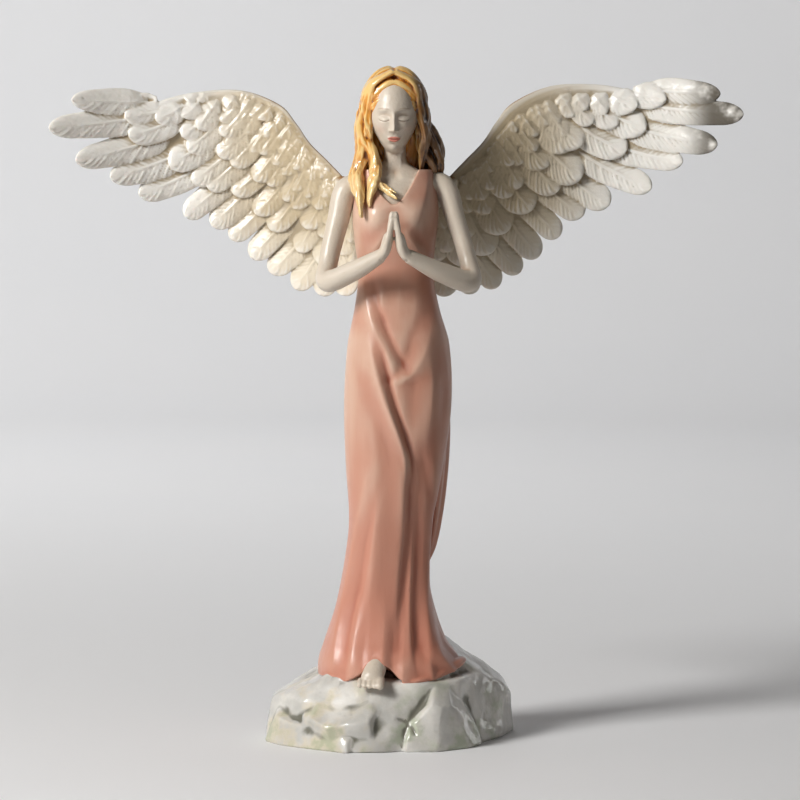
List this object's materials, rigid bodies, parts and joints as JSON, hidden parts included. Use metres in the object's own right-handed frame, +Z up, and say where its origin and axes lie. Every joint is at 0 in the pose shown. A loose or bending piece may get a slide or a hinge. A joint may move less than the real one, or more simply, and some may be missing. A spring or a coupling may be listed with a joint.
{
  "type": "porcelain angel figurine",
  "caption": "Glazed porcelain figurine of a winged angel in a long gown, praying with folded hands and standing on a rock.",
  "frame": {"origin": "on the table, under the middle of the bounding box, at the rock's flat underside", "axes": "+X along the spread wings, towards the angel's left; +Y towards her back, so she faces -Y; +Z up"},
  "size_m": [0.3526, 0.0935, 0.3388],
  "materials": {
    "porcelain": "glossy glaze over hand-painted colours"
  },
  "bodies": {
    "root": {"angel_figurine": "porcelain"}
  },
  "joints": []
}
